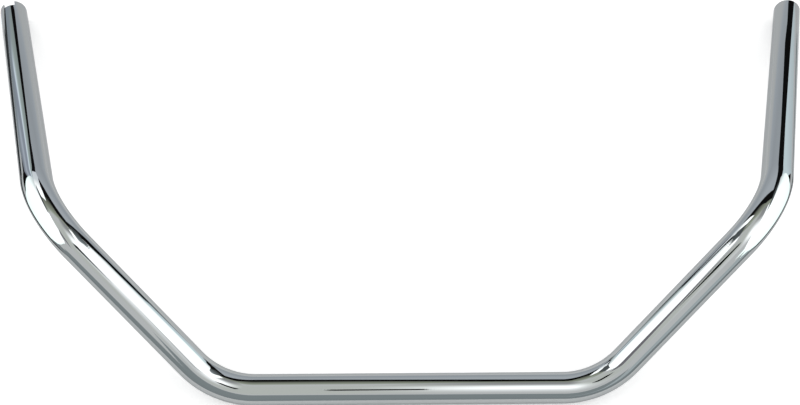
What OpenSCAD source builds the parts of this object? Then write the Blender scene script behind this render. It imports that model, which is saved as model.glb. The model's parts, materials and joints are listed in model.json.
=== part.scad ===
// Motorcycle handlebar: one bent steel tube.
// Units are millimetres. The origin is on the tube's axis in the middle of
// the clamped section. X runs along that section to the rider's left, Y
// runs back towards the rider and Z is up. The bar leans back from its
// clamped section as it is ridden, and just so far that the section and
// both ends would touch one level floor.

/* [Tube] */
// outer diameter of the tube
tube_diameter = 25.4; // [18:0.1:35]
// thickness of the tube's wall
wall_thickness = 2.5; // [1:0.1:5]

/* [Clamped section] */
// length of the straight section between the lower bends
clamped_length = 248; // [60:1:500]

/* [Lower bends] */
// radius of the lower bends, to the tube's axis
lower_bend_radius = 67; // [35:1:140]
// angle through which each lower bend turns upwards
lower_bend_angle = 49.5; // [5:0.5:90]

/* [Risers] */
// straight length between a lower and an upper bend
riser_length = 129; // [10:1:400]

/* [Upper bends] */
// radius of the upper bends, to the tube's axis
upper_bend_radius = 67; // [35:1:140]
// angle through which each upper bend turns back
upper_bend_angle = 61.5; // [30:0.5:85]
// turn of the upper bend about the riser, which swings the grip end inwards
upper_bend_turn = 0; // [-15:0.5:15]

/* [Grip sections] */
// straight length that takes a grip, from the upper bend to the end
grip_length = 302; // [100:1:400]
// width of the broken edge at each end of the tube, outside and inside
edge_break = 0.5; // [0.1:0.05:0.8]

/* [Throttle notch] */
// width of the notch in the end on the throttle side
notch_width = 10.4; // [3:0.1:14]
// depth of the notch along the tube
notch_depth = 9; // [2:0.1:40]
// radius of the notch's two inner corners
notch_corner = 1; // [0.2:0.1:1.4]
// turn of the notch about the grip, from the outside of the upper bend upwards
notch_turn = 25; // [-180:1:180]

/* [Hidden] */

tube_r = tube_diameter / 2;
bore_r = tube_r - wall_thickness;
// bending thins the wall by this much on its outside and on its inside
bend_thinning = 0.02;
// a straight keeps its full wall this far into a bend
wall_carry = 0.3;
// cuts run this far past the tube's end and its skin
overrun = 5;
// steps that settle the lean to far below a micrometre
lean_steps = 8;
chrome_color = [0.78, 0.79, 0.8];
$fn = 96;

// Direction of a grip in the risers' own plane: along X, up the plane and
// behind the plane.
function grip_direction() = [
    cos(lower_bend_angle) * cos(upper_bend_angle)
        - sin(lower_bend_angle) * sin(upper_bend_angle) * sin(upper_bend_turn),
    sin(lower_bend_angle) * cos(upper_bend_angle)
        + cos(lower_bend_angle) * sin(upper_bend_angle) * sin(upper_bend_turn),
    sin(upper_bend_angle) * cos(upper_bend_turn)
];

// Distance of the upper bend's far end up the plane from its near end, as
// shares along the riser and across it.
upper_bend_along = upper_bend_radius * sin(upper_bend_angle);
upper_bend_across = upper_bend_radius * (1 - cos(upper_bend_angle));

// Height of a tube end up the plane of the risers, and its depth behind it.
end_up = lower_bend_radius * (1 - cos(lower_bend_angle))
    + (riser_length + upper_bend_along) * sin(lower_bend_angle)
    + upper_bend_across * sin(upper_bend_turn) * cos(lower_bend_angle)
    + grip_length * grip_direction()[1];
end_behind = upper_bend_across * cos(upper_bend_turn)
    + grip_length * grip_direction()[2];
end_reach = sqrt(end_up * end_up + end_behind * end_behind);

// Downward share of a grip's direction when the plane leans by angle.
function grip_fall(angle) =
    grip_direction()[2] * cos(angle) - grip_direction()[1] * sin(angle);

// How far the lowest point of an end's outer rim lies below the tube's
// axis there, with the edge broken.
function rim_drop(angle) = let (fall = abs(grip_fall(angle)))
    tube_r * sqrt(1 - fall * fall) - edge_break * min(fall, sqrt(1 - fall * fall));

// Lean of the risers' plane from the horizontal at which both rims come as
// low as the clamped section.
function lean(steps) = steps == 0
    ? atan2(end_behind, end_up)
    : atan2(end_behind, end_up) + asin((rim_drop(lean(steps - 1)) - tube_r) / end_reach);
riser_lean = lean(lean_steps);

// Ring-shaped section of the tube, thinned by a given depth on each side.
module tube_section(thinned = 0) {
    difference() {
        circle(r = tube_r - thinned);
        circle(r = bore_r + thinned);
    }
}

// Straight tube from the origin along X, with its full wall carried on into
// the bend at each end that isn't open.
module straight(length, open_end = false) {
    translate([-wall_carry, 0, 0])
        rotate([90, 0, 90])
            linear_extrude(height = length + wall_carry * (open_end ? 1 : 2))
                tube_section();
}

// Block that holds everything on one side of the plane across X, as far as a
// whole ring of the bend's radius reaches.
module beyond(side, radius) {
    reach = 2 * radius + tube_diameter;
    translate([side > 0 ? 0 : -reach, -reach, -reach])
        cube([reach, 2 * reach, 2 * reach]);
}

// Places what follows a bend at its far end, heading the way it leaves.
module after_bend(radius, angle) {
    translate([0, radius, 0])
        rotate([0, 0, angle])
            translate([0, -radius, 0])
                children();
}

// Bent tube from the origin, leaving along X and turning towards Y: a ring
// cut square across at both ends.
module bend(radius, angle) {
    difference() {
        translate([0, radius, 0])
            rotate_extrude()
                translate([radius, 0])
                    tube_section(bend_thinning);
        beyond(-1, radius);
        after_bend(radius, angle)
            beyond(1, radius);
    }
}

// Broken inner and outer edge of the end at the origin, which faces X.
module end_edges() {
    difference() {
        rotate([0, 90, 0])
            translate([0, 0, -edge_break])
                cylinder(h = edge_break + overrun, r = tube_r + overrun);
        rotate([0, 90, 0])
            translate([0, 0, -edge_break])
                cylinder(h = edge_break, r1 = tube_r, r2 = tube_r - edge_break);
    }
    rotate([0, 90, 0])
        translate([0, 0, -edge_break])
            cylinder(h = edge_break, r1 = bore_r, r2 = bore_r + edge_break);
}

// Cutter of the throttle notch for the end at the origin, which faces X.
module notch() {
    rotate([90 - notch_turn, 0, 0])
        translate([-notch_depth, 0, 0])
            linear_extrude(height = tube_r + overrun) {
                translate([notch_corner, -notch_width / 2])
                    square([notch_depth - notch_corner + overrun, notch_width]);
                translate([0, notch_corner - notch_width / 2])
                    square([notch_depth, notch_width - 2 * notch_corner]);
                for (side = [-1, 1])
                    translate([notch_corner, side * (notch_width / 2 - notch_corner)])
                        circle(r = notch_corner);
            }
}

// Grip section from the origin along X, with its end finished.
module grip_section(notched) {
    difference() {
        straight(grip_length, open_end = true);
        translate([grip_length, 0, 0]) {
            end_edges();
            if (notched)
                notch();
        }
    }
}

// One side of the bar in the plane of the risers, from the clamped
// section's end outwards.
module side(notched) {
    translate([clamped_length / 2, 0, 0]) {
        bend(lower_bend_radius, lower_bend_angle);
        after_bend(lower_bend_radius, lower_bend_angle) {
            straight(riser_length);
            translate([riser_length, 0, 0])
                rotate([-90 + upper_bend_turn, 0, 0]) {
                    bend(upper_bend_radius, upper_bend_angle);
                    after_bend(upper_bend_radius, upper_bend_angle)
                        grip_section(notched);
                }
        }
    }
}

module handlebar_tube() {
    color(chrome_color)
        rotate([riser_lean, 0, 0]) {
            translate([-clamped_length / 2, 0, 0])
                straight(clamped_length);
            side(false);
            mirror([1, 0, 0])
                side(true);
        }
}

handlebar_tube();
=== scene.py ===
"""Chromed motorcycle handlebar: the looks of the bent tube and the studio round it."""
import json
import math

import bmesh
import bpy
from bpy.props import FloatProperty, FloatVectorProperty, IntProperty, PointerProperty
from mathutils import Matrix, Quaternion, Vector


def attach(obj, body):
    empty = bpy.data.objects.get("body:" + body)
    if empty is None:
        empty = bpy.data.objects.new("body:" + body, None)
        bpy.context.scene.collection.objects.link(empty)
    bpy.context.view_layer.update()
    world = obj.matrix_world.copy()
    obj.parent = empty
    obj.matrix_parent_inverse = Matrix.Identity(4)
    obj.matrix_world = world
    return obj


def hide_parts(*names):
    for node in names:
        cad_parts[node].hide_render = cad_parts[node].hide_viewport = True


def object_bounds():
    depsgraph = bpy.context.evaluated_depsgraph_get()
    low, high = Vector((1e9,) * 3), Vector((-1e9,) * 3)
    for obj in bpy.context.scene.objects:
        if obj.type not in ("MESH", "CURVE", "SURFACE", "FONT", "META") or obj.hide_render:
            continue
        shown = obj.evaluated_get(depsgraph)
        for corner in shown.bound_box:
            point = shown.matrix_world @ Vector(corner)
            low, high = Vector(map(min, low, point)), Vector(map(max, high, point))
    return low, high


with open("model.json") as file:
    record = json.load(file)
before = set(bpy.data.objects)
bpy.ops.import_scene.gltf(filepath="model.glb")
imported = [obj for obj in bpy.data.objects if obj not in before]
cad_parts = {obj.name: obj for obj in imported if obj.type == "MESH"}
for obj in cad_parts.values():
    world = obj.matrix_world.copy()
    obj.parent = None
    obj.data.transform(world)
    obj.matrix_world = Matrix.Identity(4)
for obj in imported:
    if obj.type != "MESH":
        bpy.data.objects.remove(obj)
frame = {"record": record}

bl_info = {
    "name": "Chromed handlebar",
    "version": (1, 0, 0),
    "blender": (4, 5, 0),
    "location": "3D View > Sidebar > Handlebar",
    "description": "Builds the chromed handlebar tube and the studio that it is shown in",
    "category": "Add Mesh",
}

CAD_BOX = [list(corner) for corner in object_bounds()]
FLOOR_LEVEL = CAD_BOX[0][2]
MOUNTS = {mount["name"]: mount for mount in frame["record"]["mounts"]}
MM = 0.001
MICRON = 1e-6
# Points of the tube that are nearer to each other than this become one.
SEAM = 5 * MICRON
# Turns a point or a direction on the rider's left into its like on the rider's right.
MIRROR = Vector((-1, 1, 1))


# Settings


class TubeSettings(bpy.types.PropertyGroup):
    """Sizes of the bent tube."""

    tube_radius: FloatProperty(
        name="Tube Radius",
        description="Outer radius of the tube",
        default=MOUNTS["riser_clamp"]["dims"]["r_mm"] * MM,
        unit="LENGTH",
    )
    bore_radius: FloatProperty(
        name="Bore Radius",
        description="Radius of the hollow inside",
        default=MOUNTS["bar_end_left"]["dims"]["r_mm"] * MM,
        unit="LENGTH",
    )
    clamped_length: FloatProperty(
        name="Clamped Length",
        description="Straight length in the middle, which the risers hold",
        default=0.248,
        unit="LENGTH",
    )
    bend_radius: FloatProperty(
        name="Bend Radius",
        description="Radius of the tube's middle line in every bend",
        default=0.067,
        unit="LENGTH",
    )
    lower_angle: FloatProperty(
        name="Lower Bend",
        description="Angle of the bends next to the clamped length",
        default=math.radians(49.5),
        subtype="ANGLE",
    )
    riser_length: FloatProperty(
        name="Riser Length",
        description="Straight length between the lower and the upper bend",
        default=0.129,
        unit="LENGTH",
    )
    upper_angle: FloatProperty(
        name="Upper Bend",
        description="Angle of the bends next to the grips",
        default=math.radians(61.5),
        subtype="ANGLE",
    )
    grip_length: FloatProperty(
        name="Grip Length",
        description="Straight length of each grip",
        default=0.302,
        unit="LENGTH",
    )
    edge_break: FloatProperty(
        name="Edge Break",
        description="Width of the broken edges of the tube's ends",
        default=0.0005,
        unit="LENGTH",
    )
    notch_width: FloatProperty(
        name="Notch Width",
        description="Width of the throttle notch",
        default=0.0104,
        unit="LENGTH",
    )
    notch_depth: FloatProperty(
        name="Notch Depth",
        description="Depth of the throttle notch along the tube",
        default=0.009,
        unit="LENGTH",
    )
    notch_corner: FloatProperty(
        name="Notch Corner",
        description="Radius of the throttle notch's inner corners",
        default=0.001,
        unit="LENGTH",
    )
    notch_turn: FloatProperty(
        name="Notch Turn",
        description="Turn of the notch from the outside of the upper bend upwards",
        default=math.radians(25),
        subtype="ANGLE",
    )
    sides: IntProperty(
        name="Sides",
        description="Number of faces round the tube",
        default=128,
        min=24,
    )
    bend_step: FloatProperty(
        name="Bend Step",
        description="Greatest angle between two rings of faces in a bend",
        default=math.radians(1.5),
        subtype="ANGLE",
    )
    sharp_angle: FloatProperty(
        name="Sharp Angle",
        description="Angle between two faces from which their edge is shaded sharp",
        default=math.radians(25),
        subtype="ANGLE",
    )


class FinishSettings(bpy.types.PropertyGroup):
    """Colours and finish of the chrome and of the bare bore."""

    chrome_color: FloatVectorProperty(
        name="Chrome",
        description="Colour that polished chrome mirrors straight on",
        default=(0.431, 0.451, 0.455),
        subtype="COLOR",
        size=3,
    )
    edge_color: FloatVectorProperty(
        name="Chrome Edge",
        description="How much of the light chrome mirrors where it is seen at a glancing angle",
        default=(0.64, 0.65, 0.66),
        subtype="COLOR",
        size=3,
    )
    steel_color: FloatVectorProperty(
        name="Bore Steel",
        description="Colour of the unplated steel in the bore",
        default=(0.30, 0.29, 0.28),
        subtype="COLOR",
        size=3,
    )
    stain_share: FloatProperty(
        name="Bore Stain",
        description="Share of the steel's colour that is left in its darkest stains",
        default=0.55,
        subtype="FACTOR",
    )
    plated_depth: FloatProperty(
        name="Plated Depth",
        description="How far the plating reaches into the bore from each end",
        default=0.028,
        unit="LENGTH",
    )


class StudioSettings(bpy.types.PropertyGroup):
    """Levels of the studio and place of its camera."""

    floor_color: FloatVectorProperty(
        name="Floor",
        description="Colour of the floor",
        default=(0.88, 0.88, 0.88),
        subtype="COLOR",
        size=3,
    )
    floor_half: FloatProperty(
        name="Floor Half",
        description="Half the width of the floor",
        default=2,
        unit="LENGTH",
    )
    softbox_level: FloatProperty(
        name="Softbox Level",
        description="Brightness of the softboxes and the ceiling light, where 1 is white",
        default=2.6,
    )
    fill_level: FloatProperty(
        name="Fill Level",
        description="Brightness of the soft light from all round",
        default=0.7,
    )
    lamp_power: FloatProperty(
        name="Lamp Power",
        description="Power of each soft lamp in watts",
        default=12,
    )
    metal_glow: FloatProperty(
        name="Floor in Metal",
        description="Lift that makes the floor white where metal mirrors it",
        default=0.14,
    )
    camera_glow: FloatProperty(
        name="Floor in Picture",
        description="Lift that makes the floor white to the camera",
        default=0.32,
    )
    camera_place: FloatVectorProperty(
        name="Camera Place",
        description="Place of the camera",
        default=(-0.0219, -0.3490, 0.8279),
        subtype="TRANSLATION",
        size=3,
    )
    camera_aim: FloatVectorProperty(
        name="Camera Aim",
        description="Point on the floor that the camera looks at",
        default=(-0.00524, 0.18701, FLOOR_LEVEL),
        subtype="TRANSLATION",
        size=3,
    )
    camera_roll: FloatProperty(
        name="Camera Roll",
        description="Turn of the camera about its line of sight",
        default=math.radians(1.249),
        subtype="ANGLE",
    )
    camera_lens: FloatProperty(
        name="Camera Lens",
        description="Focal length in millimetres, on a sensor 36 mm wide",
        default=49.247,
    )


# Node helpers


def put(tree, socket, value):
    """Links a socket to an input, or sets any other value on it."""
    if isinstance(value, bpy.types.NodeSocket):
        tree.links.new(value, socket)
    else:
        socket.default_value = value


def fill(tree, node, **values):
    """Gives each value to the node's own field or else to its input of that name."""
    for name, value in values.items():
        if hasattr(node, name):
            setattr(node, name, value)
        else:
            put(tree, node.inputs[name.replace("_", " ")], value)
    return node


def add_node(tree, kind, **values):
    """A new node with these values."""
    return fill(tree, tree.nodes.new(kind), **values)


def maths(tree, operation, *values):
    """Result of a Math node on numbers or sockets."""
    node = add_node(tree, "ShaderNodeMath", operation=operation)
    for socket, value in zip(node.inputs, values):
        put(tree, socket, value)
    return node.outputs[0]


def declare(tree, direction, sockets):
    """Gives a tree its inputs or outputs, from their names and kinds."""
    for name, kind in sockets.items():
        tree.interface.new_socket(name, in_out=direction, socket_type="NodeSocket" + kind)


# The path of the tube


def lean_angle(size):
    """Lean of the risers' plane from the floor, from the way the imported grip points."""
    _, across, fall = MOUNTS["grip_left"]["axis"]
    up = math.sin(size.lower_angle) * math.cos(size.upper_angle)
    behind = math.sin(size.upper_angle)
    return math.atan2(behind, up) - math.atan2(-fall, across)


def half_path(size):
    """Middle line from the tube's middle out to the rider's left.

    Returns its points, the grip's start and heading, and the way the upper bend turns.
    """
    lean = lean_angle(size)
    up = Vector((0, math.cos(lean), math.sin(lean)))
    behind = Vector((0, math.sin(lean), -math.cos(lean)))
    points = []
    place = Vector((0, 0, 0))
    heading = Vector((1, 0, 0))

    def straight(length, marks):
        nonlocal place
        points.extend(place + heading * mark for mark in marks)
        place = place + heading * length

    def bend(angle, inward):
        nonlocal place, heading
        centre = place + inward * size.bend_radius
        start = heading

        def point_at(turned):
            inwards = inward * (size.bend_radius * math.cos(turned))
            forwards = start * (size.bend_radius * math.sin(turned))
            return centre - inwards + forwards

        steps = math.ceil(angle / size.bend_step)
        points.extend(point_at(angle * step / steps) for step in range(steps))
        place = point_at(angle)
        heading = start * math.cos(angle) + inward * math.sin(angle)

    # Two rings close to each bend keep the shading of the straights even.
    near = 0.5 * MM
    next_to_near = 8 * near
    half = size.clamped_length / 2
    straight(half, [0, half / 2, half - next_to_near, half - near])
    bend(size.lower_angle, up)
    riser = size.riser_length
    straight(riser, [0, near, next_to_near, riser / 2, riser - next_to_near, riser - near])
    bend(size.upper_angle, behind)
    grip_start = place.copy()
    end = size.grip_length
    # The last point closes the end: its ring lies in the end's face, on the bore's broken edge.
    straight(end, [0, near, next_to_near, end / 3, end * 2 / 3, end - 2 * size.notch_depth,
                   end - size.notch_depth - MM, end - size.edge_break, end, end + 2 * MICRON])
    return points, grip_start, heading, behind


def notch_place(size, grip_start, heading, behind):
    """Place and turn of the notch's cutter, at the tube's end on the rider's right.

    Its X points outwards along the tube, and its Z straight out of the tube's skin.
    """
    end = (grip_start + heading * size.grip_length) * MIRROR
    outwards = heading * MIRROR
    # The outside of the upper bend, square to the grip and in that bend's plane.
    across = heading.cross(behind).normalized()
    outer = across.cross(heading).normalized()
    if outer.dot(behind) > 0:
        outer = -outer
    outer = outer * MIRROR
    upwards = outwards.cross(outer)
    if upwards.z < 0:
        upwards = -upwards
    radial = outer * math.cos(size.notch_turn) + upwards * math.sin(size.notch_turn)
    side = radial.cross(outwards)
    return end, Matrix((outwards, side, radial)).transposed().to_euler()


# The tube's node tree


def swept_tube(tree, given, line):
    """Hollow tube along the line, which stores how far along it is and where it is bare."""
    # Distance along the tube, kept for the polishing lines of the finish.
    length = add_node(tree, "GeometryNodeSplineParameter").outputs["Length"]
    measured = add_node(tree, "GeometryNodeStoreNamedAttribute", data_type="FLOAT", domain="POINT",
                        Geometry=line, Name="along", Value=length).outputs["Geometry"]
    circle = add_node(tree, "GeometryNodeCurvePrimitiveCircle", mode="RADIUS", Radius=1,
                      Resolution=given["Sides"]).outputs["Curve"]

    def ends(count):
        return add_node(tree, "GeometryNodeCurveEndpointSelection", Start_Size=count,
                        End_Size=count).outputs["Selection"]

    def pick(condition, when_true, when_false):
        node = add_node(tree, "GeometryNodeSwitch", input_type="FLOAT", Switch=condition)
        put(tree, node.inputs["True"], when_true)
        put(tree, node.inputs["False"], when_false)
        return node.outputs[0]

    def sweep(radius):
        return add_node(tree, "GeometryNodeCurveToMesh", Curve=measured, Profile_Curve=circle,
                        Scale=radius).outputs["Mesh"]

    broken_outside = maths(tree, "SUBTRACT", given["Tube Radius"], given["Edge Break"])
    broken_inside = maths(tree, "ADD", given["Bore Radius"], given["Edge Break"])
    outside = sweep(pick(ends(1), broken_inside,
                         pick(ends(2), broken_outside, given["Tube Radius"])))
    inside = sweep(pick(ends(2), broken_inside, given["Bore Radius"]))
    turned = add_node(tree, "GeometryNodeFlipFaces", Mesh=inside).outputs["Mesh"]

    # The bore is plated only as deep as the bath reaches from either end.
    along = add_node(tree, "GeometryNodeInputNamedAttribute", data_type="FLOAT",
                     Name="along").outputs["Attribute"]
    span = add_node(tree, "GeometryNodeCurveLength", Curve=line).outputs["Length"]
    depth = maths(tree, "MINIMUM", along, maths(tree, "SUBTRACT", span, along))
    is_bare = maths(tree, "GREATER_THAN", depth, given["Plated Depth"])
    bore = add_node(tree, "GeometryNodeStoreNamedAttribute", data_type="FLOAT", domain="FACE",
                    Geometry=turned, Name="bare", Value=is_bare).outputs["Geometry"]
    both = add_node(tree, "GeometryNodeJoinGeometry")
    put(tree, both.inputs["Geometry"], bore)
    put(tree, both.inputs["Geometry"], outside)
    return add_node(tree, "GeometryNodeMergeByDistance", Geometry=both.outputs["Geometry"],
                    Distance=SEAM).outputs["Geometry"]


def notch_cutter(tree, given):
    """Rounded slab that stands on the tube's middle line and reaches out through its skin."""
    slab = add_node(tree, "GeometryNodeCurvePrimitiveQuadrilateral", mode="RECTANGLE",
                    Width=maths(tree, "MULTIPLY", given["Notch Depth"], 2),
                    Height=given["Notch Width"]).outputs["Curve"]
    rounded = add_node(tree, "GeometryNodeFilletCurve", mode="POLY", Curve=slab, Count=8,
                       Radius=given["Notch Corner"]).outputs["Curve"]
    base = add_node(tree, "GeometryNodeFillCurve", mode="NGONS", Curve=rounded).outputs["Mesh"]
    raised = add_node(tree, "GeometryNodeExtrudeMesh", mode="FACES", Mesh=base, Individual=False,
                      Offset_Scale=maths(tree, "MULTIPLY", given["Tube Radius"], 2)).outputs["Mesh"]
    underside = add_node(tree, "GeometryNodeFlipFaces", Mesh=base).outputs["Mesh"]
    both = add_node(tree, "GeometryNodeJoinGeometry")
    put(tree, both.inputs["Geometry"], underside)
    put(tree, both.inputs["Geometry"], raised)
    sealed = add_node(tree, "GeometryNodeMergeByDistance", Geometry=both.outputs["Geometry"],
                      Distance=MICRON).outputs["Geometry"]
    return add_node(tree, "GeometryNodeTransform", Geometry=sealed, Translation=given["Notch Place"],
                    Rotation=given["Notch Rotation"]).outputs["Geometry"]


def tube_tree():
    """Node tree that sweeps a hollow tube along a line of points and cuts the notch."""
    tree = bpy.data.node_groups.new("bent_tube", "GeometryNodeTree")
    declare(tree, "INPUT", {
        "Geometry": "Geometry",
        "Tube Radius": "Float",
        "Bore Radius": "Float",
        "Edge Break": "Float",
        "Notch Width": "Float",
        "Notch Depth": "Float",
        "Notch Corner": "Float",
        "Sides": "Int",
        "Notch Place": "Vector",
        "Notch Rotation": "Vector",
        "Plated Depth": "Float",
        "Chrome": "Material",
        "Bore Steel": "Material",
    })
    declare(tree, "OUTPUT", {"Geometry": "Geometry"})
    given = add_node(tree, "NodeGroupInput").outputs
    line = add_node(tree, "GeometryNodeMeshToCurve", Mesh=given["Geometry"]).outputs["Curve"]
    cut = add_node(tree, "GeometryNodeMeshBoolean", operation="DIFFERENCE", solver="EXACT",
                   Mesh_1=swept_tube(tree, given, line),
                   Mesh_2=notch_cutter(tree, given)).outputs["Mesh"]
    real = add_node(tree, "GeometryNodeRealizeInstances", Geometry=cut).outputs["Geometry"]
    plated = add_node(tree, "GeometryNodeSetMaterial", Geometry=real,
                      Material=given["Chrome"]).outputs["Geometry"]
    bare = add_node(tree, "GeometryNodeInputNamedAttribute", data_type="FLOAT",
                    Name="bare").outputs["Attribute"]
    dressed = add_node(tree, "GeometryNodeSetMaterial", Geometry=plated,
                       Selection=maths(tree, "GREATER_THAN", bare, 0.5),
                       Material=given["Bore Steel"]).outputs["Geometry"]
    add_node(tree, "NodeGroupOutput", Geometry=dressed)
    return tree


def set_inputs(modifier, tree, values):
    """Sets a modifier's inputs by the identifiers of the sockets with these names."""
    for item in tree.interface.items_tree:
        if item.item_type == "SOCKET" and item.in_out == "INPUT" and item.name in values:
            modifier[item.identifier] = values[item.name]


# The tube's mesh


def plain_mesh(source, name):
    """Turns an object's evaluated shape into a plain mesh object and removes the source."""
    graph = bpy.context.evaluated_depsgraph_get()
    mesh = bpy.data.meshes.new_from_object(source.evaluated_get(graph), depsgraph=graph)
    mesh.name = name
    piece = bpy.data.objects.new(name, mesh)
    bpy.context.scene.collection.objects.link(piece)
    bpy.data.objects.remove(source)
    return piece


def give_materials(mesh, chrome, steel):
    """Leaves the mesh with just these two materials, each on the faces that it was on."""
    bare = [mesh.materials[part.material_index] == steel for part in mesh.polygons]
    mesh.materials.clear()
    mesh.materials.append(chrome)
    mesh.materials.append(steel)
    mesh.polygons.foreach_set("material_index", [int(part) for part in bare])


def shade_smooth(mesh, sharp_angle):
    """Shades the tube smooth, with its edges sharp, and checks that it is closed."""
    shape = bmesh.new()
    shape.from_mesh(mesh)
    if not shape.faces:
        raise RuntimeError("the tube has no faces")
    for edge in shape.edges:
        if len(edge.link_faces) != 2:
            raise RuntimeError("the tube's surface isn't closed")
        edge.smooth = edge.calc_face_angle(0) < sharp_angle
    for part in shape.faces:
        part.smooth = True
    shape.to_mesh(mesh)
    shape.free()


class HANDLEBAR_OT_tube(bpy.types.Operator):
    """Builds the hollow bent tube with its throttle notch"""

    bl_idname = "handlebar.tube"
    bl_label = "Bent Tube"

    def execute(self, context):
        size = context.scene.handlebar_tube
        finish = context.scene.handlebar_finish
        points, grip_start, heading, behind = half_path(size)
        mirrored = [point * MIRROR for point in points[1:]]
        line = list(reversed(mirrored)) + points
        path = bpy.data.meshes.new("tube_line")
        path.from_pydata(line, [(start, start + 1) for start in range(len(line) - 1)], [])
        source = bpy.data.objects.new("tube_line", path)
        context.scene.collection.objects.link(source)

        chrome = chrome_material(finish)
        steel = bore_material(finish)
        modifier = source.modifiers.new("bent_tube", "NODES")
        modifier.node_group = tube_tree()
        place, rotation = notch_place(size, grip_start, heading, behind)
        set_inputs(modifier, modifier.node_group, {
            "Tube Radius": size.tube_radius,
            "Bore Radius": size.bore_radius,
            "Edge Break": size.edge_break,
            "Notch Width": size.notch_width,
            "Notch Depth": size.notch_depth,
            "Notch Corner": size.notch_corner,
            "Sides": size.sides,
            "Notch Place": place,
            "Notch Rotation": rotation,
            "Plated Depth": finish.plated_depth,
            "Chrome": chrome,
            "Bore Steel": steel,
        })
        piece = plain_mesh(source, "chromed_tube")
        give_materials(piece.data, chrome, steel)
        shade_smooth(piece.data, size.sharp_angle)

        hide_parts("handlebar_tube")
        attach(piece, "root")
        return {"FINISHED"}


# Finishes


def mottle_group():
    """Soft irregular mottling between two values, from Object coordinates."""
    tree = bpy.data.node_groups.get("mottle")
    if tree:
        return tree
    tree = bpy.data.node_groups.new("mottle", "ShaderNodeTree")
    declare(tree, "INPUT", {"Scale": "Float", "Detail": "Float", "Low": "Float", "High": "Float"})
    declare(tree, "OUTPUT", {"Value": "Float"})
    given = add_node(tree, "NodeGroupInput").outputs
    place = add_node(tree, "ShaderNodeTexCoord").outputs["Object"]
    noise = add_node(tree, "ShaderNodeTexNoise", Vector=place, Scale=given["Scale"],
                     Detail=given["Detail"]).outputs["Fac"]
    spread = add_node(tree, "ShaderNodeMapRange", From_Min=0.3, From_Max=0.7, Value=noise,
                      To_Min=given["Low"], To_Max=given["High"]).outputs["Result"]
    add_node(tree, "NodeGroupOutput", Value=spread)
    return tree


def ring_lines_group():
    """Fine lines round the tube, from the stored distance along it."""
    tree = bpy.data.node_groups.get("ring_lines")
    if tree:
        return tree
    tree = bpy.data.node_groups.new("ring_lines", "ShaderNodeTree")
    declare(tree, "INPUT", {"Spacing": "Float", "Waver": "Float"})
    declare(tree, "OUTPUT", {"Height": "Float"})
    given = add_node(tree, "NodeGroupInput").outputs
    along = add_node(tree, "ShaderNodeAttribute", attribute_name="along",
                     attribute_type="GEOMETRY").outputs["Fac"]
    place = add_node(tree, "ShaderNodeTexCoord").outputs["Object"]
    sway = add_node(tree, "ShaderNodeTexNoise", Vector=place, Scale=60).outputs["Fac"]
    moved = maths(tree, "MULTIPLY_ADD", sway, given["Waver"], along)
    lines = add_node(tree, "ShaderNodeTexNoise", noise_dimensions="1D", Scale=1, Detail=3,
                     W=maths(tree, "DIVIDE", moved, given["Spacing"])).outputs["Fac"]
    add_node(tree, "NodeGroupOutput", Height=lines)
    return tree


def new_material(name):
    """A material with its node tree and its shader."""
    material = bpy.data.materials.new(name)
    material.use_nodes = True
    return material, material.node_tree, material.node_tree.nodes["Principled BSDF"]


def mottle(tree, **values):
    """Mottling with these values, placed in a material."""
    group = mottle_group()
    return add_node(tree, "ShaderNodeGroup", node_tree=group, **values).outputs["Value"]


def ring_lines(tree, strength, **values):
    """Surface direction with ring lines of these values, placed in a material."""
    group = ring_lines_group()
    height = add_node(tree, "ShaderNodeGroup", node_tree=group, **values).outputs["Height"]
    return add_node(tree, "ShaderNodeBump", Strength=strength, Distance=0.4 * MM,
                    Height=height).outputs["Normal"]


def chrome_material(finish):
    """Bright chrome plate: a mirror with faint polishing lines and patches of haze."""
    material, tree, shader = new_material("bright_chrome")
    fill(tree, shader, Base_Color=(*finish.chrome_color, 1), Metallic=1,
         Specular_Tint=(*finish.edge_color, 1),
         Roughness=mottle(tree, Scale=45, Detail=4, Low=0.02, High=0.045),
         Normal=ring_lines(tree, strength=0.008, Spacing=0.9 * MM, Waver=2 * MM))
    return material


def bore_material(finish):
    """Bare drawn steel inside the tube, dull and slightly stained."""
    material, tree, shader = new_material("bare_bore_steel")
    stained = tuple(part * finish.stain_share for part in finish.steel_color)
    stain = mottle(tree, Scale=120, Detail=6, Low=0, High=1)
    tint = add_node(tree, "ShaderNodeMix", data_type="RGBA", A=(*finish.steel_color, 1),
                    B=(*stained, 1), Factor=stain).outputs["Result"]
    fill(tree, shader, Base_Color=tint, Metallic=1,
         Roughness=mottle(tree, Scale=300, Detail=4, Low=0.38, High=0.6),
         Normal=ring_lines(tree, strength=0.3, Spacing=2 * MM, Waver=4 * MM))
    return material


# Cards: what the metal mirrors


# Tints of the cards.
WHITE = (1, 1, 1)
COOL = (0.90, 1, 1.03)
LAVENDER = (0.94, 0.99, 1.06)
# Y of the backdrop, X of the softboxes to either side and Z of the ceiling light.
BACKDROP = 0.7
SOFTBOX_SIDE = 0.56
CEILING = 1.5
# Height at which the cards on the floor lie.
LIFTED = FLOOR_LEVEL + 0.5 * MM


def shade(level, tint=WHITE):
    """A colour of this brightness, where 1 is white."""
    return tuple(level * part for part in tint)


DARK = shade(0.01)


def facing_x(x, outline):
    """Corners of a flat shape square to X, from its outline as (y, z)."""
    return [(x, y, z) for y, z in outline]


def facing_y(y, outline):
    """Corners of a flat shape square to Y, from its outline as (x, z)."""
    return [(x, y, z) for x, z in outline]


def facing_z(z, outline):
    """Corners of a flat shape square to Z, from its outline as (x, y)."""
    return [(x, y, z) for x, y in outline]


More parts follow.
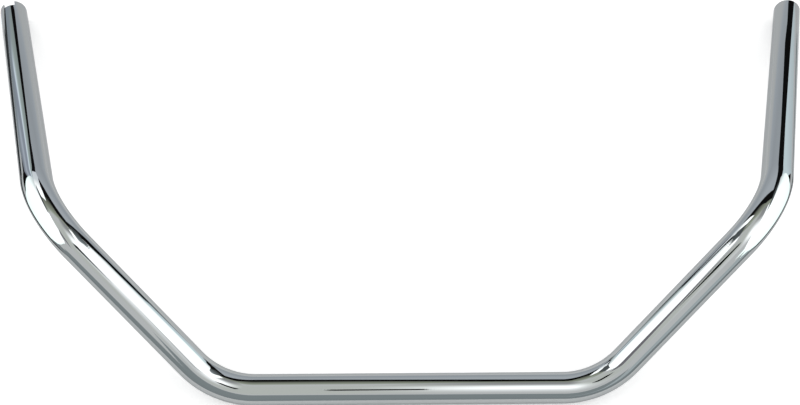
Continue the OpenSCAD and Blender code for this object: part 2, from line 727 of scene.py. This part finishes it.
def gradient(tree, value, stops):
    """A colour ramp over a value, with stops given as (value, (red, green, blue))."""
    first = stops[0][0]
    last = stops[-1][0]
    share = add_node(tree, "ShaderNodeMapRange", From_Min=first, From_Max=last,
                     Value=value).outputs["Result"]
    ramp = add_node(tree, "ShaderNodeValToRGB", Fac=share)
    marks = ramp.color_ramp.elements
    while len(marks) < len(stops):
        marks.new(0.5)
    for mark, (place, color) in zip(marks, stops):
        mark.position = (place - first) / (last - first)
        mark.color = (*color, 1)
    return ramp.outputs["Color"]


def card(name, corners, shading, strength=1, axis="Z", plain=None, fade=None):
    """A glowing card that only the metal sees.

    The shading is one colour, or stops of (metres, colour) along an axis. With a fade of
    (axis, low, high), it comes out of a plain colour from low to high.
    """
    mesh = bpy.data.meshes.new(name)
    mesh.from_pydata(corners, [], [range(len(corners))])
    item = bpy.data.objects.new(name, mesh)
    bpy.context.scene.collection.objects.link(item)
    material = bpy.data.materials.new(name)
    material.use_nodes = True
    tree = material.node_tree
    tree.nodes.clear()
    if isinstance(shading, tuple):
        color = (*shading, 1)
    else:
        place = add_node(tree, "ShaderNodeTexCoord").outputs["Object"]
        parts = add_node(tree, "ShaderNodeSeparateXYZ", Vector=place).outputs
        color = gradient(tree, parts[axis], shading)
    if fade:
        fade_axis, low, high = fade
        share = add_node(tree, "ShaderNodeMapRange", interpolation_type="SMOOTHSTEP", From_Min=low,
                         From_Max=high, Value=parts[fade_axis]).outputs["Result"]
        color = add_node(tree, "ShaderNodeMix", data_type="RGBA", A=(*plain, 1), B=color,
                         Factor=share).outputs["Result"]
    glow = add_node(tree, "ShaderNodeEmission", Color=color, Strength=strength).outputs["Emission"]
    add_node(tree, "ShaderNodeOutputMaterial", Surface=glow)
    mesh.materials.append(material)
    item.visible_camera = False
    item.visible_diffuse = False
    item.visible_shadow = False
    item.visible_transmission = False


def backdrop_cards():
    """The pale backdrop behind the bar, with a slanted top, and its foot on the floor."""
    left = -0.455
    right = 0.475
    levels = {FLOOR_LEVEL: 0.85, 0.05: 0.74, 0.13: 0.66, 0.3: 0.74, 0.45: 0.82, 0.66: 0.82}
    outline = [(left, FLOOR_LEVEL), (right, FLOOR_LEVEL), (right, 0.07), (0.44, 0.09),
               (0.44, 0.2), (0.412, 0.245), (0.412, 0.86), (0.2, 0.76), (-0.16, 0.51),
               (-0.412, 0.38), (-0.412, 0.25), (-0.45, 0.22), (-0.44, 0.14), (-0.44, 0.04)]
    card("backdrop_card", facing_y(BACKDROP, outline),
         [(height, shade(level, LAVENDER)) for height, level in levels.items()])
    front = 0.42
    top = 0.045
    card("backdrop_foot",
         [(left, front, LIFTED), (right, front, LIFTED), (right, BACKDROP, top), (left, BACKDROP, top)],
         [(front, WHITE), (0.5, shade(0.9)), (0.6, shade(0.79, LAVENDER)),
          (BACKDROP, shade(0.74, LAVENDER))],
         axis="Y")


def room_cards():
    """The dark room behind the backdrop, which turns pale far above it."""
    top = 3.4
    back = BACKDROP + 20 * MM
    stops = [(FLOOR_LEVEL, DARK), (0.84, DARK), (1.07, (0.20, 0.21, 0.17)),
             (1.35, (0.38, 0.40, 0.32)), (1.98, (0.52, 0.55, 0.45)), (2.69, (0.74, 0.80, 0.68)),
             (top, (0.93, 0.97, 0.88))]
    for name, start, end in (
        ("room_left", (-1.6, 0.4), (-0.6, 0.49)),
        ("room", (-1, back), (1, back)),
        ("room_right", (0.62, 0.49), (1.6, 0.4)),
    ):
        card(name, [(*start, FLOOR_LEVEL), (*end, FLOOR_LEVEL), (*end, top), (*start, top)], stops)
    outline = [(-1, FLOOR_LEVEL), (1, FLOOR_LEVEL), (1, 1.8), (0.2, 1.42), (-0.16, 0.78), (-0.6, 0.7),
               (-1, 0.7)]
    card("dark_curtain", facing_y(BACKDROP + 15 * MM, outline), DARK)


def softbox_cards(bright):
    """The softboxes at either side, with what stands behind and beside them."""
    left = [(-0.02, FLOOR_LEVEL), (0.16, FLOOR_LEVEL), (0.2, 0.1), (0.30, 0.16), (0.45, 0.28),
            (0.55, 0.40), (0.53, 0.58), (0.4, 0.72), (0.26, 0.84), (0.13, 0.95), (0.13, 1.2),
            (-0.42, 1.2), (-0.44, 0.9), (-0.52, 0.6), (-0.45, 0.45), (-0.33, 0.3), (-0.24, 0.18),
            (-0.13, 0.06)]
    right = [(-0.1, FLOOR_LEVEL), (0.17, FLOOR_LEVEL), (0.24, 0.1), (0.36, 0.2), (0.45, 0.3),
             (0.55, 0.45), (0.46, 0.6), (0.32, 0.72), (0.2, 0.83), (0.11, 0.95), (0.1, 1.08),
             (0.4, 1.2), (0.4, 1.55), (-0.88, 1.55), (-0.88, 1), (-0.75, 0.6), (-0.68, 0.45),
             (-0.58, 0.3), (-0.43, 0.2), (-0.34, 0.1), (-0.2, 0.02)]
    stops = [(FLOOR_LEVEL, (0.88, 1, 0.96)), (0.30, (0.90, 1, 0.97)), (0.5, WHITE), (CEILING, WHITE)]
    for name, x, outline in (("softbox_left", -SOFTBOX_SIDE, left),
                             ("softbox_right", SOFTBOX_SIDE, right)):
        card(name, facing_x(x, outline), stops, strength=bright, plain=(0.53, 0.56, 0.56),
             fade=("Y", 0.52, 0.28))

    # Dark behind the softboxes' slanted back edges.
    for name, x, top, levels in (
        ("dark_behind_left", -0.60, 1.25, {0.05: 0.2, 0.3: 0.18, 0.6: 0.16}),
        ("dark_behind_right", 0.60, 1.15, {0.05: 0.8, 0.3: 0.35, 0.6: 0.13}),
    ):
        card(name, facing_x(x, [(0.05, 0.72), (0.72, 0.66), (0.72, top), (0.05, top)]),
             [(place, shade(level, COOL)) for place, level in levels.items()], axis="Y")
    card("dark_flag", facing_x(-0.55, [(-1.15, 0.9), (-0.46, 0.9), (-0.46, 2), (-1.15, 2)]),
         (0.33, 0.31, 0.34))

    # A bright panel between the left softbox and the backdrop.
    outline = [(-0.62, 0.34), (-0.40, 0.34), (-0.34, 0.42), (-0.34, 0.62), (-0.31, 0.75),
               (-0.31, 1.2), (-0.7, 1.2), (-0.7, 0.7), (-0.62, 0.5)]
    card("bright_panel", facing_y(BACKDROP - 5 * MM, outline),
         [(0.26, (1.2, 1.24, 1.34)), (0.5, (1.35, 1.4, 1.45)), (0.62, shade(2)), (0.78, shade(bright))])


def wall_cards():
    """The walls between the softboxes and the gaps beside the backdrop."""
    top = 0.5
    card("wall_right",
         [(0.60, 0.32, FLOOR_LEVEL), (0.62, BACKDROP, FLOOR_LEVEL), (0.62, BACKDROP, 0.19),
          (0.6147, 0.6, 0.30), (0.6121, 0.55, top), (0.60, 0.32, top)],
         [(FLOOR_LEVEL, (1.04, 1.16, 1.19)), (0.08, (1.09, 1.22, 1.28)), (0.15, (1.13, 1.30, 1.36))])
    # Two bright bands stand in the blue of this one, and fade out towards the floor.
    card("wall_left",
         [(-0.60, 0.38, FLOOR_LEVEL), (-0.52, BACKDROP, FLOOR_LEVEL), (-0.52, BACKDROP, 0.2),
          (-0.54, 0.62, 0.3), (-0.56, 0.54, top), (-0.60, 0.38, top)],
         [(0.38, (0.30, 0.32, 0.38)), (0.43, (0.85, 0.92, 1.05)), (0.47, (0.52, 0.57, 0.67)),
          (0.51, (0.58, 0.63, 0.74)), (0.535, (1.45, 1.6, 1.75)), (0.56, (0.95, 1.08, 1.1)),
          (0.59, (0.66, 0.75, 0.73)), (BACKDROP, (0.5, 0.57, 0.55))],
         axis="Y", plain=(0.52, 0.58, 0.64), fade=("Z", 0.02, 0.07))


def ceiling_card(bright):
    """The bright ceiling light over the right half, coming out of the white over the left."""
    levels = {-2.2: 0.39, -1.45: 0.50, -1.15: 0.62, -0.9: 0.80, -0.7: 1, -0.42: 0.96, -0.25: 0.76,
              -0.08: 0.48, 0.08: 0.24, 0.5: 0.18}
    outline = [(-SOFTBOX_SIDE, -2.2), (SOFTBOX_SIDE, -2.2), (SOFTBOX_SIDE, 0.5), (0.1, 0.5),
               (-0.05, 0.05), (-SOFTBOX_SIDE, 0.05)]
    card("ceiling_light", facing_z(CEILING, outline),
         [(place, shade(level)) for place, level in levels.items()], strength=bright, axis="Y",
         plain=(0.375, 0.383, 0.362), fade=("X", -0.12, 0.3))


def floor_cards():
    """Darker strips on the floor in front of the bar and at its sides, outside the picture."""
    for name, left, right, near, far, level in (
        ("dark_front_left", -1.8, 0.25, -0.055, -1.6, 0.45),
        ("dark_front_right", 0.25, 1.8, -0.055, -0.27, 0.42),
        ("pale_front_right", 0.25, 1.8, -0.27, -1.6, 0.82),
        ("side_strip_left", -0.555, -0.44, BACKDROP, -0.05, 0.08),
        ("side_strip_right", 0.455, 0.53, 0.25, -0.05, 0.1),
        ("side_strip_right_end", 0.45, 0.49, BACKDROP, 0.25, 0.45),
    ):
        outline = [(left, near), (right, near), (right, far), (left, far)]
        card(name, facing_z(LIFTED, outline), shade(level, COOL))


def front_cards():
    """The wall behind the camera, and the camera's own dark reflection."""
    wall = -1.5
    outline = [(-1.7, FLOOR_LEVEL), (0.66, FLOOR_LEVEL), (0.66, 0.4), (0.4, 0.64), (-0.4, 0.8),
               (-0.78, 0.2), (-1.7, 0.2)]
    card("front_wall", facing_y(wall, outline), shade(0.47, COOL))
    outline = [(0.66, FLOOR_LEVEL), (1.7, FLOOR_LEVEL), (1.7, 0.3), (0.66, 0.3)]
    card("front_wall_right", facing_y(wall, outline), shade(0.8, COOL))
    card("camera_back", [(-0.11, -0.489, 0.76), (0.05, -0.489, 0.76), (0.05, -0.365, 0.826),
                         (-0.11, -0.365, 0.826)], DARK)


# The rest of the studio


def build_camera(scene, studio):
    """The camera, in the place from which the bar is shown."""
    data = bpy.data.cameras.new("camera")
    data.sensor_fit = "HORIZONTAL"
    data.sensor_width = 36
    data.lens = studio.camera_lens
    item = bpy.data.objects.new("camera", data)
    scene.collection.objects.link(item)
    place = Vector(studio.camera_place)
    aimed = (Vector(studio.camera_aim) - place).to_track_quat("-Z", "Y")
    item.rotation_mode = "QUATERNION"
    item.rotation_quaternion = aimed @ Quaternion((0, 0, 1), studio.camera_roll)
    item.location = place
    scene.camera = item


def build_floor(scene, studio):
    """The pale floor, which is white to the camera and in metal, and keeps the shadow."""
    half = studio.floor_half
    mesh = bpy.data.meshes.new("floor")
    mesh.from_pydata(facing_z(FLOOR_LEVEL, [(-half, -half), (half, -half), (half, half), (-half, half)]),
                     [], [(0, 1, 2, 3)])
    item = bpy.data.objects.new("floor", mesh)
    scene.collection.objects.link(item)
    material, tree, shader = new_material("pale_floor")
    ray = add_node(tree, "ShaderNodeLightPath").outputs
    mirrored = maths(tree, "MAXIMUM", ray["Is Glossy Ray"], ray["Is Transmission Ray"])
    in_metal = maths(tree, "MULTIPLY", mirrored, studio.metal_glow)
    glow = maths(tree, "MULTIPLY_ADD", ray["Is Camera Ray"], studio.camera_glow, in_metal)
    fill(tree, shader, Base_Color=(*studio.floor_color, 1), Roughness=0.9, Specular_IOR_Level=0,
         Emission_Color=(1, 1, 1, 1), Emission_Strength=glow)
    mesh.materials.append(material)


def build_world(scene, studio):
    """White all round to the camera, metal and glass, and a softer light to all else."""
    world = bpy.data.worlds.new("studio")
    world.use_nodes = True
    scene.world = world
    tree = world.node_tree
    tree.nodes.clear()
    ray = add_node(tree, "ShaderNodeLightPath").outputs
    direct = maths(tree, "MAXIMUM", ray["Is Camera Ray"], ray["Is Glossy Ray"])
    direct = maths(tree, "MAXIMUM", direct, ray["Is Transmission Ray"])
    soft = add_node(tree, "ShaderNodeBackground", Color=(1, 1, 1, 1), Strength=studio.fill_level)
    white = add_node(tree, "ShaderNodeBackground", Color=(1, 1, 1, 1), Strength=1)
    seen = add_node(tree, "ShaderNodeMixShader")
    for socket, value in zip(seen.inputs, (direct, soft.outputs[0], white.outputs[0])):
        put(tree, socket, value)
    add_node(tree, "ShaderNodeOutputWorld", Surface=seen.outputs[0])


def build_lamps(scene, studio):
    """Three large soft lamps above the bar, which metal doesn't show."""
    middle = Vector((0, 0.15, 0))
    for place, width in (((-2, 0.1, 1.8), 2.6), ((2, 0.1, 1.8), 2.6), ((0, 0.1, 2.4), 3)):
        lamp = bpy.data.lights.new("soft_lamp", "AREA")
        lamp.shape = "SQUARE"
        lamp.size = width
        lamp.energy = studio.lamp_power
        item = bpy.data.objects.new("soft_lamp", lamp)
        scene.collection.objects.link(item)
        item.location = place
        item.rotation_euler = (middle - Vector(place)).to_track_quat("-Z", "Z").to_euler()
        item.visible_glossy = False
        item.visible_camera = False


class HANDLEBAR_OT_studio(bpy.types.Operator):
    """Sets up the camera, the floor, the soft light and the cards"""

    bl_idname = "handlebar.studio"
    bl_label = "Studio"

    def execute(self, context):
        scene = context.scene
        studio = scene.handlebar_studio
        scene.view_settings.view_transform = "Standard"
        build_camera(scene, studio)
        build_floor(scene, studio)
        build_world(scene, studio)
        build_lamps(scene, studio)
        backdrop_cards()
        room_cards()
        softbox_cards(studio.softbox_level)
        wall_cards()
        ceiling_card(studio.softbox_level)
        floor_cards()
        front_cards()
        return {"FINISHED"}


# The panel


class HANDLEBAR_PT_panel(bpy.types.Panel):
    """Lists the handlebar's builders and settings"""

    bl_idname = "HANDLEBAR_PT_panel"
    bl_label = "Handlebar"
    bl_space_type = "VIEW_3D"
    bl_region_type = "UI"
    bl_category = "Handlebar"

    def draw(self, context):
        for group, operator in (
            (context.scene.handlebar_tube, "handlebar.tube"),
            (context.scene.handlebar_finish, None),
            (context.scene.handlebar_studio, "handlebar.studio"),
        ):
            box = self.layout.box()
            for name in group.__annotations__:
                box.prop(group, name)
            if operator:
                box.operator(operator)


CLASSES = (
    TubeSettings,
    FinishSettings,
    StudioSettings,
    HANDLEBAR_OT_tube,
    HANDLEBAR_OT_studio,
    HANDLEBAR_PT_panel,
)


def register():
    for item in CLASSES:
        bpy.utils.register_class(item)
    bpy.types.Scene.handlebar_tube = PointerProperty(type=TubeSettings)
    bpy.types.Scene.handlebar_finish = PointerProperty(type=FinishSettings)
    bpy.types.Scene.handlebar_studio = PointerProperty(type=StudioSettings)


def unregister():
    del bpy.types.Scene.handlebar_studio
    del bpy.types.Scene.handlebar_finish
    del bpy.types.Scene.handlebar_tube
    for item in reversed(CLASSES):
        bpy.utils.unregister_class(item)


def main():
    register()
    bpy.ops.handlebar.tube()
    bpy.ops.handlebar.studio()


if __name__ == "__main__":
    main()
